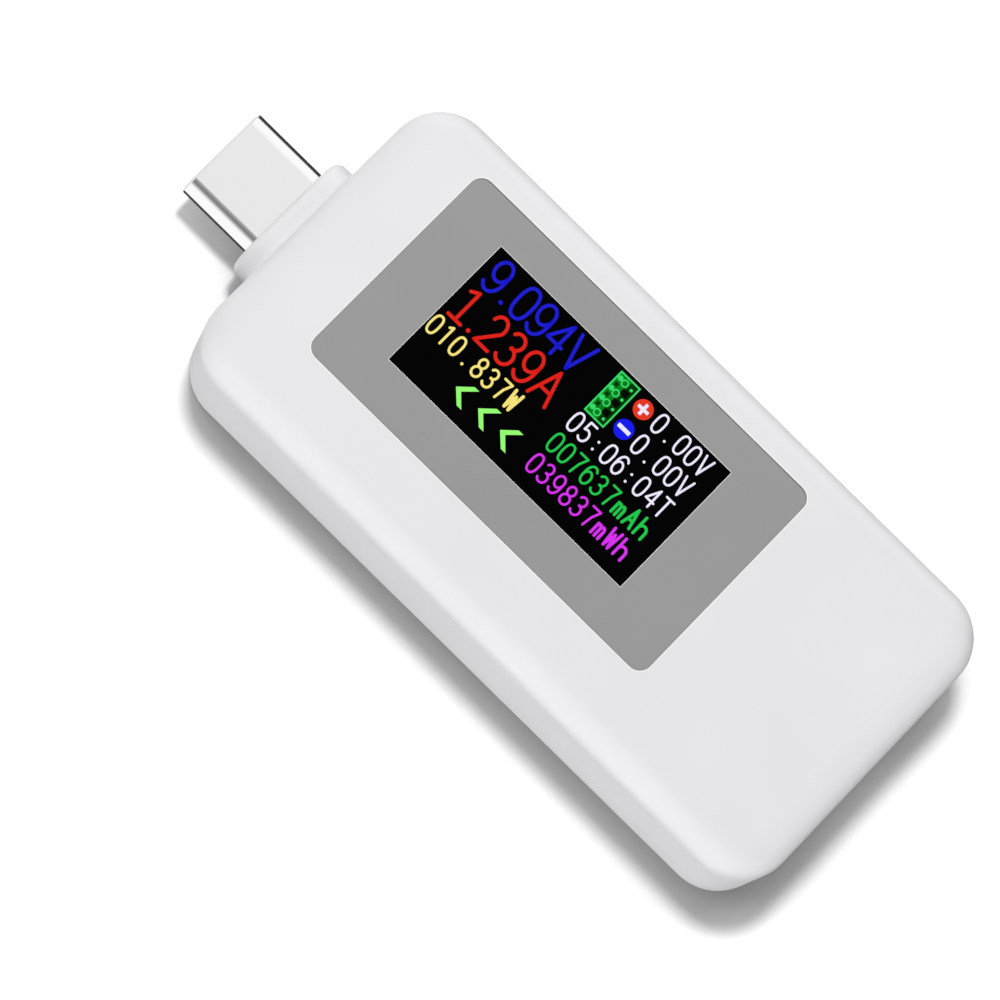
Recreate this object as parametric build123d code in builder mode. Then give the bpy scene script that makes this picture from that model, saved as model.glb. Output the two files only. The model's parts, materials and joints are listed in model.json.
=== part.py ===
"""A USB power meter that plugs in line: a USB-C plug, a USB-C socket and a colour display.

Sizes are in millimetres. The origin is the centre of the case's underside. +X runs
along the case from the plug to the socket, +Y runs across it towards the top of the
display's readings, and +Z is up.
"""

import os

from build123d import *

os.makedirs("parts", exist_ok=True)

# ---------------------------------------------------------------- driving dimensions

# Case
CASE_LENGTH = 57.75
CASE_WIDTH = 27.8
CASE_HEIGHT = 12.0
CORNER_RADIUS = 4.3
TOP_ROUNDING = 2.75
LOWER_EDGE_ROUNDING = 0.35
WALL = 1.6
INNER_ROUNDING = 1.0
FIT_GAP = 0.1

# Collar that the plug stands in
COLLAR_WIDTH = 11.5
COLLAR_HEIGHT = 5.8
COLLAR_PROUD = 1.8
COLLAR_ROUNDING = 0.7
COLLAR_FOOT_ROUNDING = 0.5

# Display panel, in a shallow recess of the case's top
OVERLAY_LENGTH = 33.9
OVERLAY_WIDTH = 18.5
OVERLAY_CENTRE = (-5.15, 1.6)
OVERLAY_CORNER = 1.0
OVERLAY_THICKNESS = 0.35
OVERLAY_GROOVE = 0.04
OVERLAY_SUNK = 0.03
OVERLAY_EDGE_ROUNDING = 0.05
ADHESIVE_THICKNESS = 0.08
ADHESIVE_MARGIN = 0.2
RECESS_EDGE_BREAK = 0.12
WINDOW_LENGTH = 23.7
WINDOW_WIDTH = 12.05
WINDOW_CENTRE = (-5.5, 2.0)
WINDOW_GAP = 0.06
WINDOW_SUNK = 0.04

# Clearance left between stacked pieces that only touch
TOUCH_GAP = 0.02

# USB-C plug
PLUG_WIDTH = 8.25
PLUG_HEIGHT = 2.4
PLUG_REACH = 6.6
PLUG_WALL = 0.25
PLUG_SHELL_LENGTH = 12.8
PLUG_SLOT_WIDTH = 7.3
PLUG_SLOT_HEIGHT = 1.3
PLUG_BLOCK_LENGTH = 4.0
PLUG_BLOCK_WIDTH = 8.4
PLUG_BLOCK_GAP = 0.05
SLEEVE_GAP = 0.02
SLEEVE_SUNK = 0.7
LATCH_SHEET = 0.15
LATCH_DEPTH = 0.5
GROUND_SHEET = 0.12
GROUND_WIDTH = 5.6
GROUND_LENGTH = 0.4

# USB-C socket
SOCKET_OPENING_WIDTH = 8.34
SOCKET_OPENING_HEIGHT = 2.56
SOCKET_WALL = 0.3
SOCKET_LENGTH = 7.4
SOCKET_SUNK = 0.3
TONGUE_WIDTH = 6.69
TONGUE_THICKNESS = 0.7
TONGUE_SUNK = 1.2
TONGUE_BLOCK_LENGTH = 2.2
TONGUE_SHOULDER_LENGTH = 1.1
TONGUE_ROUNDING = 0.2
MIDPLATE_THICKNESS = 0.12

# Contacts of both connectors
CONTACT_COUNT = 12
CONTACT_PITCH = 0.5
CONTACT_WIDTH = 0.24
CONTACT_THICKNESS = 0.12
CONTACT_BEND = 0.12

# Circuit board, above the connectors
CONNECTOR_Z = 4.4
BOARD_LENGTH = 52.4
BOARD_WIDTH = 22.6
BOARD_THICKNESS = 1.0
BOARD_CORNER = 2.4

# Parts on the board's underside: where each stands, its body and its legs
MICRO_PLACE = (2.0, -3.5)
MICRO_SIDE = 5.0
MICRO_HEIGHT = 0.9
SHUNT_PLACE = (-10.0, 4.0)
SHUNT_SIZE = (6.4, 3.2)
SHUNT_HEIGHT = 0.6
AMPLIFIER_PLACE = (-10.0, -1.8)
AMPLIFIER_SIDE = 3.0
AMPLIFIER_HEIGHT = 0.9
REGULATOR_PLACE = (-5.0, -8.2)
REGULATOR_SIZE = (2.9, 1.6)
REGULATOR_HEIGHT = 1.0
MEMORY_PLACE = (10.0, -5.0)
MEMORY_SIZE = (4.9, 3.9)
MEMORY_HEIGHT = 1.4
CRYSTAL_PLACE = (2.0, 2.6)
CRYSTAL_SIZE = (3.2, 2.5)
CRYSTAL_HEIGHT = 0.7
CAPACITOR_PLACES = ((-2.6, -3.5), (-3.0, 5.0), (6.4, -3.5))
CAPACITOR_SIZE = (1.6, 0.8)
CAPACITOR_HEIGHT = 0.8
RESISTOR_PLACES = ((-14.5, -6.5), (14.5, 1.5))
RESISTOR_SIZE = (1.0, 0.5)
RESISTOR_HEIGHT = 0.35
CHIP_STANDOFF = 0.1
CHIP_EDGE_BREAK = 0.12
LEG_THICKNESS = 0.16

# Soldered tabs of the connectors' shells
TAB_LENGTH = 1.0
TAB_THICKNESS = 0.3
TAB_PROUD = 0.5

# Back cover
COVER_THICKNESS = 1.6
SNAP_WALL_LENGTH = 44.0
SNAP_WALL_THICKNESS = 0.9
SNAP_WALL_HEIGHT = 1.8
SNAP_LENGTH = 4.0
SNAP_REACH = 0.3
SNAP_HALF_HEIGHT = 0.35
SNAP_DROP = 0.7
SNAP_PLACES = (-17.0, 0.0, 17.0)
POST_DIAMETER = 2.4
POST_X = 19.5
POST_Y = 9.3

# Side button and its switch
BUTTON_X = 10.0
BUTTON_Z = 4.95
BUTTON_LENGTH = 5.0
BUTTON_HEIGHT = 1.8
BUTTON_PROUD = 0.4
BUTTON_TRAVEL = 0.25
BUTTON_ROUNDING = 0.25
FLANGE_MARGIN = 0.7
FLANGE_THICKNESS = 0.45
RUNNING_GAP = 0.08
SWITCH_WIDTH = 4.0
SWITCH_DEPTH = 2.6
SWITCH_HEIGHT = 1.9
SWITCH_FRONT_Y = 10.3
SWITCH_WALL = 0.35
PLUNGER_WIDTH = 1.8
PLUNGER_HEIGHT = 0.9
PLUNGER_PROUD = 0.6
PLUNGER_HEAD = 0.4
DOME_THICKNESS = 0.08
DOME_RISE = 0.55
DOME_WIDTH = 1.0

# ---------------------------------------------------------------- worked-out places

case_end = CASE_LENGTH / 2
inner_length = CASE_LENGTH - 2 * WALL
inner_width = CASE_WIDTH - 2 * WALL
inner_corner = CORNER_RADIUS - WALL
ceiling_z = CASE_HEIGHT - WALL

overlay_top = CASE_HEIGHT - OVERLAY_SUNK
overlay_base = overlay_top - OVERLAY_THICKNESS
recess_floor = overlay_base - ADHESIVE_THICKNESS - 2 * TOUCH_GAP

collar_face = -case_end - COLLAR_PROUD
plug_tip = collar_face - PLUG_REACH
plug_shell_end = plug_tip + PLUG_SHELL_LENGTH
plug_block_end = plug_shell_end + PLUG_BLOCK_LENGTH

socket_height = SOCKET_OPENING_HEIGHT + 2 * SOCKET_WALL
socket_width = SOCKET_OPENING_WIDTH + 2 * SOCKET_WALL
socket_mouth = case_end - SOCKET_SUNK
socket_back = socket_mouth - SOCKET_LENGTH
tongue_tip = socket_mouth - TONGUE_SUNK

board_base = CONNECTOR_Z + socket_height / 2 + TOUCH_GAP
board_top = board_base + BOARD_THICKNESS

# The display module: its viewing area fills the window, and its glass runs on past the
# socket end of it to carry the driver chip and the flex.
module_end_margin = 0.7
module_ledge = 2.3
module_rim = 0.4
glass_start = WINDOW_CENTRE[0] - WINDOW_LENGTH / 2 - module_end_margin
filter_end = WINDOW_CENTRE[0] + WINDOW_LENGTH / 2 + module_end_margin
glass_end = filter_end + module_ledge
glass_width = WINDOW_WIDTH + 2 * module_end_margin
module_start = glass_start - module_rim
module_end = glass_end + module_rim
module_length = module_end - module_start
module_width = glass_width + 2 * module_rim
module_centre = ((module_start + module_end) / 2, WINDOW_CENTRE[1])
glass_centre = ((glass_start + glass_end) / 2, WINDOW_CENTRE[1])
filter_centre = ((glass_start + filter_end) / 2, WINDOW_CENTRE[1])

polarizer_thickness = 0.15
glass_thickness = 0.4
backlight_thickness = 0.7
tray_floor = 0.2
driver_width = 0.7
driver_length = 9.6
driver_thickness = 0.25
polarizer_base = overlay_base - TOUCH_GAP - polarizer_thickness
filter_base = polarizer_base - TOUCH_GAP - glass_thickness
tft_base = filter_base - TOUCH_GAP - glass_thickness
backlight_base = tft_base - TOUCH_GAP - backlight_thickness
tray_base = backlight_base - TOUCH_GAP - tray_floor

# The opening in the case's top that the display module stands in
flex_room = 1.1
opening_start = module_start - 0.3
opening_end = module_end + flex_room + 0.3
opening_length = opening_end - opening_start
opening_width = module_width + 0.6
opening_centre = ((opening_start + opening_end) / 2, WINDOW_CENTRE[1])

contact_places = [
    (place - (CONTACT_COUNT - 1) / 2) * CONTACT_PITCH for place in range(CONTACT_COUNT)
]

# Planes that face along +X at the connectors' height: local x is +Y and local y is +Z.
connector_plane = Plane(origin=(0, 0, CONNECTOR_Z), x_dir=(0, 1, 0), z_dir=(1, 0, 0))
# A level plane through the connectors' centre line
connector_level = Plane.XY.offset(CONNECTOR_Z)
# The plane that faces along -Y at the button's centre: local x is +X and local y is +Z.
button_plane = Plane(origin=(BUTTON_X, 0, BUTTON_Z), x_dir=(1, 0, 0), z_dir=(0, -1, 0))


def strip_profile(points, across):
    """The side view of one contact strip, standing at a given place across a connector."""
    plane = Plane(origin=(0, across, CONNECTOR_Z), x_dir=(1, 0, 0), z_dir=(0, -1, 0))
    with BuildSketch(plane) as profile:
        with BuildLine():
            FilletPolyline(*points, radius=CONTACT_BEND)
        trace(line_width=CONTACT_THICKNESS)
    return profile.sketch


# ---------------------------------------------------------------- case

with BuildPart() as top_case:
    with BuildSketch():
        RectangleRounded(CASE_LENGTH, CASE_WIDTH, CORNER_RADIUS)
    extrude(amount=CASE_HEIGHT)
    fillet(top_case.faces().sort_by(Axis.Z)[-1].edges(), TOP_ROUNDING)
    fillet(top_case.faces().sort_by(Axis.Z)[0].edges(), LOWER_EDGE_ROUNDING)

    # The collar around the plug, with a soft front edge and a soft foot
    with BuildSketch(connector_plane.offset(collar_face)):
        SlotOverall(COLLAR_WIDTH, COLLAR_HEIGHT)
    extrude(amount=COLLAR_PROUD + WALL / 2)
    fillet(top_case.faces().sort_by(Axis.X)[0].edges(), COLLAR_ROUNDING)
    foot = top_case.edges().filter_by_position(Axis.X, -case_end - 0.01, -case_end + 0.01)
    foot = foot.filter_by_position(Axis.Y, -COLLAR_WIDTH / 2, COLLAR_WIDTH / 2)
    foot = foot.filter_by_position(Axis.Z, 1.0, CONNECTOR_Z + COLLAR_HEIGHT / 2 + 0.1)
    fillet(foot, COLLAR_FOOT_ROUNDING)

    # The hollow inside, open at the bottom
    with BuildSketch():
        RectangleRounded(inner_length, inner_width, inner_corner)
    extrude(amount=ceiling_z, mode=Mode.SUBTRACT)
    ceiling = top_case.faces().filter_by(Axis.Z)
    ceiling = ceiling.filter_by_position(Axis.Z, ceiling_z - 0.01, ceiling_z + 0.01)
    fillet(ceiling.edges(), INNER_ROUNDING)

    # Four posts that hold the board down
    with BuildSketch(Plane.XY.offset(board_top + TOUCH_GAP)):
        with GridLocations(2 * POST_X, 2 * POST_Y, 2, 2):
            Circle(POST_DIAMETER / 2)
    extrude(amount=CASE_HEIGHT - WALL / 2 - board_top)

    # The recess for the display panel, and the opening that the display stands in
    with BuildSketch(Plane.XY.offset(recess_floor)):
        with Locations(OVERLAY_CENTRE):
            RectangleRounded(
                OVERLAY_LENGTH + 2 * OVERLAY_GROOVE,
                OVERLAY_WIDTH + 2 * OVERLAY_GROOVE,
                OVERLAY_CORNER + OVERLAY_GROOVE,
            )
    extrude(amount=WALL, mode=Mode.SUBTRACT)
    chamfer(top_case.faces().sort_by(Axis.Z)[-1].inner_wires()[0].edges(), RECESS_EDGE_BREAK)
    with BuildSketch(Plane.XY.offset(board_top)):
        with Locations(opening_centre):
            RectangleRounded(opening_length, opening_width, 0.5)
    extrude(amount=CASE_HEIGHT, mode=Mode.SUBTRACT)

    # The holes for the plug, the socket and the button
    with BuildSketch(connector_plane.offset(collar_face - 1)):
        SlotOverall(PLUG_WIDTH + 2 * FIT_GAP, PLUG_HEIGHT + 2 * FIT_GAP)
    extrude(amount=COLLAR_PROUD + WALL + 2, mode=Mode.SUBTRACT)
    with BuildSketch(connector_plane.offset(case_end - WALL - 1)):
        SlotOverall(socket_width + 2 * FIT_GAP, socket_height + 2 * FIT_GAP)
    extrude(amount=WALL + 2, mode=Mode.SUBTRACT)
    mouth = top_case.edges().filter_by_position(Axis.X, case_end - 0.01, case_end + 0.01)
    mouth = mouth.filter_by_position(Axis.Y, -socket_width / 2 - 0.2, socket_width / 2 + 0.2)
    mouth = mouth.filter_by_position(Axis.Z, 1.0, CONNECTOR_Z + socket_height / 2 + 0.2)
    chamfer(mouth, SOCKET_SUNK)
    with BuildSketch(button_plane.offset(-CASE_WIDTH / 2 - 1)):
        SlotOverall(BUTTON_LENGTH + 2 * RUNNING_GAP, BUTTON_HEIGHT + 2 * RUNNING_GAP)
    extrude(amount=WALL + 1.5, mode=Mode.SUBTRACT)

    # The grooves that the back cover's snaps click into
    snap_z = COVER_THICKNESS + SNAP_WALL_HEIGHT - SNAP_DROP
    for side in (-1, 1):
        for x in SNAP_PLACES:
            with Locations((x, side * inner_width / 2, snap_z)):
                Box(SNAP_LENGTH + 0.4, 1.0, 0.9, mode=Mode.SUBTRACT)
top_case.part.label = "top_case"
export_step(top_case.part, "parts/top_case.step")


with BuildPart() as back_cover:
    with BuildSketch():
        RectangleRounded(
            inner_length - 2 * FIT_GAP, inner_width - 2 * FIT_GAP, inner_corner - FIT_GAP
        )
    extrude(amount=COVER_THICKNESS)
    fillet(back_cover.faces().sort_by(Axis.Z)[0].edges(), FIT_GAP)

    # Two upstanding walls that carry the snaps
    snap_wall_y = inner_width / 2 - FIT_GAP - SNAP_WALL_THICKNESS / 2
    with BuildSketch(Plane.XY.offset(COVER_THICKNESS)):
        with GridLocations(0, 2 * snap_wall_y, 1, 2):
            Rectangle(SNAP_WALL_LENGTH, SNAP_WALL_THICKNESS)
    extrude(amount=SNAP_WALL_HEIGHT)
    snap_face = inner_width / 2 - FIT_GAP
    snap_root = snap_face - 0.2
    for side in (-1, 1):
        for x in SNAP_PLACES:
            with BuildSketch(Plane.YZ.offset(x - SNAP_LENGTH / 2)):
                with BuildLine():
                    Polyline(
                        (side * snap_root, snap_z - SNAP_HALF_HEIGHT),
                        (side * snap_face, snap_z - SNAP_HALF_HEIGHT),
                        (side * (snap_face + SNAP_REACH), snap_z - 0.1),
                        (side * snap_face, snap_z + SNAP_HALF_HEIGHT),
                        (side * snap_root, snap_z + SNAP_HALF_HEIGHT),
                        close=True,
                    )
                make_face()
            extrude(amount=SNAP_LENGTH)

    # Four posts that the board rests on
    with BuildSketch(Plane.XY.offset(COVER_THICKNESS)):
        with GridLocations(2 * POST_X, 2 * POST_Y, 2, 2):
            Circle(POST_DIAMETER / 2)
    extrude(amount=board_base - TOUCH_GAP - COVER_THICKNESS)
back_cover.part.label = "back_cover"
export_step(back_cover.part, "parts/back_cover.step")


# ---------------------------------------------------------------- display panel

with BuildPart() as display_overlay:
    with BuildSketch(Plane.XY.offset(overlay_base)):
        with Locations(OVERLAY_CENTRE):
            RectangleRounded(OVERLAY_LENGTH, OVERLAY_WIDTH, OVERLAY_CORNER)
        with Locations(WINDOW_CENTRE):
            Rectangle(WINDOW_LENGTH, WINDOW_WIDTH, mode=Mode.SUBTRACT)
    extrude(amount=OVERLAY_THICKNESS)
    fillet(display_overlay.faces().sort_by(Axis.Z)[-1].outer_wire().edges(), OVERLAY_EDGE_ROUNDING)
display_overlay.part.label = "display_overlay"
export_step(display_overlay.part, "parts/display_overlay.step")


with BuildPart() as display_window:
    with BuildSketch(Plane.XY.offset(overlay_base)):
        with Locations(WINDOW_CENTRE):
            Rectangle(WINDOW_LENGTH - 2 * WINDOW_GAP, WINDOW_WIDTH - 2 * WINDOW_GAP)
    extrude(amount=OVERLAY_THICKNESS - WINDOW_SUNK)
display_window.part.label = "display_window"
export_step(display_window.part, "parts/display_window.step")


with BuildPart() as overlay_adhesive:
    with BuildSketch(Plane.XY.offset(recess_floor + TOUCH_GAP)):
        with Locations(OVERLAY_CENTRE):
            RectangleRounded(
                OVERLAY_LENGTH - 2 * ADHESIVE_MARGIN,
                OVERLAY_WIDTH - 2 * ADHESIVE_MARGIN,
                OVERLAY_CORNER - ADHESIVE_MARGIN,
            )
        with Locations(opening_centre):
            Rectangle(opening_length + 0.3, opening_width + 0.3, mode=Mode.SUBTRACT)
    extrude(amount=ADHESIVE_THICKNESS)
overlay_adhesive.part.label = "overlay_adhesive"
export_step(overlay_adhesive.part, "parts/overlay_adhesive.step")


# ---------------------------------------------------------------- display module

with BuildPart() as lcd_polarizer:
    with BuildSketch(Plane.XY.offset(polarizer_base)):
        with Locations(filter_centre):
            Rectangle(filter_end - glass_start - 0.5, glass_width - 0.5)
    extrude(amount=polarizer_thickness)
lcd_polarizer.part.label = "lcd_polarizer"
export_step(lcd_polarizer.part, "parts/lcd_polarizer.step")


with BuildPart() as lcd_filter_glass:
    with BuildSketch(Plane.XY.offset(filter_base)):
        with Locations(filter_centre):
            Rectangle(filter_end - glass_start, glass_width)
    extrude(amount=glass_thickness)
lcd_filter_glass.part.label = "lcd_filter_glass"
export_step(lcd_filter_glass.part, "parts/lcd_filter_glass.step")


with BuildPart() as lcd_tft_glass:
    with BuildSketch(Plane.XY.offset(tft_base)):
        with Locations(glass_centre):
            Rectangle(glass_end - glass_start, glass_width)
    extrude(amount=glass_thickness)
lcd_tft_glass.part.label = "lcd_tft_glass"
export_step(lcd_tft_glass.part, "parts/lcd_tft_glass.step")


with BuildPart() as lcd_driver_chip:
    with BuildSketch(Plane.XY.offset(filter_base)):
        with Locations((filter_end + driver_width, WINDOW_CENTRE[1])):
            Rectangle(driver_width, driver_length)
    extrude(amount=driver_thickness)
lcd_driver_chip.part.label = "lcd_driver_chip"
export_step(lcd_driver_chip.part, "parts/lcd_driver_chip.step")


with BuildPart() as lcd_backlight:
    with BuildSketch(Plane.XY.offset(backlight_base)):
        with Locations(module_centre):
            Rectangle(module_length - 2 * module_rim - 0.3, glass_width - 0.3)
    extrude(amount=backlight_thickness)
lcd_backlight.part.label = "lcd_backlight"
export_step(lcd_backlight.part, "parts/lcd_backlight.step")


with BuildPart() as lcd_frame:
    with BuildSketch(Plane.XY.offset(tray_base)):
        with Locations(module_centre):
            RectangleRounded(module_length, module_width, 0.4)
    extrude(amount=filter_base - TOUCH_GAP - tray_base)
    with BuildSketch(Plane.XY.offset(tray_base + tray_floor)):
        with Locations(module_centre):
            Rectangle(module_length - 2 * module_rim + 0.1, glass_width + 0.1)
    extrude(amount=CASE_HEIGHT, mode=Mode.SUBTRACT)
lcd_frame.part.label = "lcd_frame"
export_step(lcd_frame.part, "parts/lcd_frame.step")


# The flex leaves the glass ledge, folds down past the frame and lies on the board.
flex_thickness = 0.12
flex_width = 8.4
flex_tail = 5.2
flex_bend = 0.6
with BuildPart() as lcd_flex:
    flex_high = filter_base + flex_thickness / 2 + 0.01
    flex_low = board_top + flex_thickness / 2 + TOUCH_GAP
    flex_out = module_end + flex_room - 0.2
    flex_plane = Plane(
        origin=(0, WINDOW_CENTRE[1], 0), x_dir=(1, 0, 0), z_dir=(0, -1, 0)
    )
    with BuildSketch(flex_plane):
        with BuildLine():
            FilletPolyline(
                (glass_end - 0.7, flex_high),
                (flex_out, flex_high),
                (flex_out, flex_low),
                (flex_out - flex_tail, flex_low),
                radius=flex_bend,
            )
        trace(line_width=flex_thickness)
    extrude(amount=flex_width / 2, both=True)
lcd_flex.part.label = "lcd_flex"
export_step(lcd_flex.part, "parts/lcd_flex.step")


# Foam between the board and the display frame presses the display up to the panel.
pad_start = module_start + 1.5
pad_end = flex_out - flex_tail - 0.6
with BuildPart() as display_pad:
    with BuildSketch(Plane.XY.offset(board_top + TOUCH_GAP)):
        with Locations(((pad_start + pad_end) / 2, WINDOW_CENTRE[1])):
            Rectangle(pad_end - pad_start, glass_width - 2.0)
    extrude(amount=tray_base - board_top - 2 * TOUCH_GAP)
display_pad.part.label = "display_pad"
export_step(display_pad.part, "parts/display_pad.step")


# ---------------------------------------------------------------- circuit board

tab_top = board_top + TAB_PROUD
tab_slot_length = TAB_LENGTH + 0.8
tab_slot_width = TAB_THICKNESS + 0.3
plug_tab_x = plug_shell_end - 1.0
plug_tab_y = PLUG_WIDTH / 2 + 0.05
socket_tab_places = (socket_back + 1.0, socket_mouth - 2.9)
socket_tab_y = socket_width / 2 + 0.05

with BuildPart() as main_board:
    with BuildSketch(Plane.XY.offset(board_base)):
        RectangleRounded(BOARD_LENGTH, BOARD_WIDTH, BOARD_CORNER)
        # Slots for the connectors' soldered tabs
        for y in (plug_tab_y, -plug_tab_y):
            with Locations((plug_tab_x, y)):
                SlotOverall(tab_slot_length, tab_slot_width, mode=Mode.SUBTRACT)
        for x in socket_tab_places:
            with Locations((x, socket_tab_y), (x, -socket_tab_y)):
                SlotOverall(tab_slot_length, tab_slot_width, mode=Mode.SUBTRACT)
    extrude(amount=BOARD_THICKNESS)
main_board.part.label = "main_board"
export_step(main_board.part, "parts/main_board.step")

chip_top = board_base - TOUCH_GAP

with BuildPart() as microcontroller:
    with BuildSketch(Plane.XY.offset(chip_top)):
        with Locations(MICRO_PLACE):
            Rectangle(MICRO_SIDE, MICRO_SIDE)
    extrude(amount=-MICRO_HEIGHT)
    chamfer(microcontroller.faces().sort_by(Axis.Z)[0].edges(), CHIP_EDGE_BREAK)
microcontroller.part.label = "microcontroller"
export_step(microcontroller.part, "parts/microcontroller.step")


with BuildPart() as current_shunt:
    with BuildSketch(Plane.XY.offset(chip_top)):
        with Locations(SHUNT_PLACE):
            Rectangle(*SHUNT_SIZE)
    extrude(amount=-SHUNT_HEIGHT)
    fillet(current_shunt.edges().filter_by(Axis.Y), CHIP_EDGE_BREAK)
current_shunt.part.label = "current_shunt"
export_step(current_shunt.part, "parts/current_shunt.step")


with BuildPart() as sense_amplifier:
    with BuildSketch(Plane.XY.offset(chip_top - CHIP_STANDOFF)):
        with Locations(AMPLIFIER_PLACE):
            Rectangle(AMPLIFIER_SIDE, AMPLIFIER_SIDE)
    extrude(amount=-AMPLIFIER_HEIGHT)
    chamfer(sense_amplifier.faces().sort_by(Axis.Z)[0].edges(), CHIP_EDGE_BREAK)
    # Its legs, four on each side
    with BuildSketch(Plane.XY.offset(chip_top)):
        with Locations(AMPLIFIER_PLACE):
            with GridLocations(0.65, AMPLIFIER_SIDE + 1.0, 4, 2):
                Rectangle(0.3, 1.2)
    extrude(amount=-LEG_THICKNESS)
sense_amplifier.part.label = "sense_amplifier"
export_step(sense_amplifier.part, "parts/sense_amplifier.step")


with BuildPart() as voltage_regulator:
    with BuildSketch(Plane.XY.offset(chip_top - CHIP_STANDOFF)):
        with Locations(REGULATOR_PLACE):
            Rectangle(*REGULATOR_SIZE)
    extrude(amount=-REGULATOR_HEIGHT)
    chamfer(voltage_regulator.faces().sort_by(Axis.Z)[0].edges(), CHIP_EDGE_BREAK)
    # Its legs, three on each side
    with BuildSketch(Plane.XY.offset(chip_top)):
        with Locations(REGULATOR_PLACE):
            with GridLocations(0.95, REGULATOR_SIZE[1] + 0.6, 3, 2):
                Rectangle(0.4, 0.8)
    extrude(amount=-LEG_THICKNESS)
voltage_regulator.part.label = "voltage_regulator"
export_step(voltage_regulator.part, "parts/voltage_regulator.step")


with BuildPart() as memory_chip:
    with BuildSketch(Plane.XY.offset(chip_top - CHIP_STANDOFF)):
        with Locations(MEMORY_PLACE):
            Rectangle(*MEMORY_SIZE)
    extrude(amount=-MEMORY_HEIGHT)
    chamfer(memory_chip.faces().sort_by(Axis.Z)[0].edges(), CHIP_EDGE_BREAK)
    # Its legs, four on each side
    with BuildSketch(Plane.XY.offset(chip_top)):
        with Locations(MEMORY_PLACE):
            with GridLocations(1.27, MEMORY_SIZE[1] + 0.9, 4, 2):
                Rectangle(0.42, 1.3)
    extrude(amount=-LEG_THICKNESS)
memory_chip.part.label = "memory_chip"
export_step(memory_chip.part, "parts/memory_chip.step")


with BuildPart() as crystal:
    with BuildSketch(Plane.XY.offset(chip_top)):
        with Locations(CRYSTAL_PLACE):
            RectangleRounded(*CRYSTAL_SIZE, 0.3)
    extrude(amount=-CRYSTAL_HEIGHT)
crystal.part.label = "crystal"
export_step(crystal.part, "parts/crystal.step")


with BuildPart() as chip_capacitors:
    with BuildSketch(Plane.XY.offset(chip_top)):
        with Locations(*CAPACITOR_PLACES):
            with GridLocations(0, 2.2, 1, 3):
                Rectangle(*CAPACITOR_SIZE)
    extrude(amount=-CAPACITOR_HEIGHT)
chip_capacitors.part.label = "chip_capacitors"
export_step(chip_capacitors.part, "parts/chip_capacitors.step")


with BuildPart() as chip_resistors:
    with BuildSketch(Plane.XY.offset(chip_top)):
        with Locations(*RESISTOR_PLACES):
            with GridLocations(1.8, 1.1, 2, 4):
                Rectangle(*RESISTOR_SIZE)
    extrude(amount=-RESISTOR_HEIGHT)
chip_resistors.part.label = "chip_resistors"
export_step(chip_resistors.part, "parts/chip_resistors.step")


# ---------------------------------------------------------------- plug

with BuildPart() as plug_shell:
    with BuildSketch(connector_plane.offset(plug_tip)):
        SlotOverall(PLUG_WIDTH, PLUG_HEIGHT)
    extrude(amount=PLUG_SHELL_LENGTH)
    with BuildSketch(connector_plane.offset(plug_tip)):
        SlotOverall(PLUG_WIDTH - 2 * PLUG_WALL, PLUG_HEIGHT - 2 * PLUG_WALL)
    extrude(amount=PLUG_SHELL_LENGTH, mode=Mode.SUBTRACT)
    # The rolled-in lip of the tip
    fillet(plug_shell.faces().sort_by(Axis.X)[0].outer_wire().edges(), PLUG_WALL - 0.05)
    # One tab each side, soldered through the board
    for side in (-1, 1):
        with BuildSketch(connector_level):
            with Locations((plug_tab_x, side * plug_tab_y)):
                Rectangle(TAB_LENGTH, TAB_THICKNESS)
        extrude(amount=tab_top - CONNECTOR_Z)
plug_shell.part.label = "plug_shell"
export_step(plug_shell.part, "parts/plug_shell.step")


sleeve_width = PLUG_WIDTH - 2 * PLUG_WALL - 2 * SLEEVE_GAP
sleeve_height = PLUG_HEIGHT - 2 * PLUG_WALL - 2 * SLEEVE_GAP
sleeve_front = plug_tip + SLEEVE_SUNK
with BuildPart() as plug_insulator:
    with BuildSketch(connector_plane.offset(sleeve_front)):
        SlotOverall(sleeve_width, sleeve_height)
    extrude(amount=plug_shell_end - sleeve_front + 0.2)
    # The block behind the shell, which carries the contact tails up to the board
    block_top = board_base - TOUCH_GAP - CONNECTOR_Z
    with BuildSketch(connector_plane.offset(plug_shell_end + PLUG_BLOCK_GAP)):
        with Locations((0, (block_top - PLUG_HEIGHT / 2) / 2)):
            Rectangle(PLUG_BLOCK_WIDTH, block_top + PLUG_HEIGHT / 2)
    extrude(amount=PLUG_BLOCK_LENGTH)
    # The slot that a socket's tongue goes into
    with BuildSketch(connector_plane.offset(plug_tip)):
        SlotOverall(PLUG_SLOT_WIDTH, PLUG_SLOT_HEIGHT)
    extrude(amount=PLUG_SHELL_LENGTH - 4.0, mode=Mode.SUBTRACT)
plug_insulator.part.label = "plug_insulator"
export_step(plug_insulator.part, "parts/plug_insulator.step")


# Both rows of contacts start as springs in the slot, pass through the block and end as
# tails under the board; the lower row's tails lie one row further in.
tail_z = block_top - CONTACT_THICKNESS / 2
spring_run = PLUG_SLOT_HEIGHT / 2 - CONTACT_THICKNESS
spring_tip = plug_tip + 1.1
plug_upper_strip = (
    (spring_tip, spring_run - 0.06),
    (spring_tip + 0.7, spring_run - 0.24),
    (spring_tip + 1.8, spring_run),
    (plug_block_end + 0.25, spring_run),
    (plug_block_end + 0.25, tail_z),
    (plug_block_end + 0.85, tail_z),
)
plug_lower_strip = (
    (spring_tip, -spring_run + 0.06),
    (spring_tip + 0.7, -spring_run + 0.24),
    (spring_tip + 1.8, -spring_run),
    (plug_block_end + 1.15, -spring_run),
    (plug_block_end + 1.15, tail_z),
    (plug_block_end + 1.75, tail_z),
)

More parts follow.
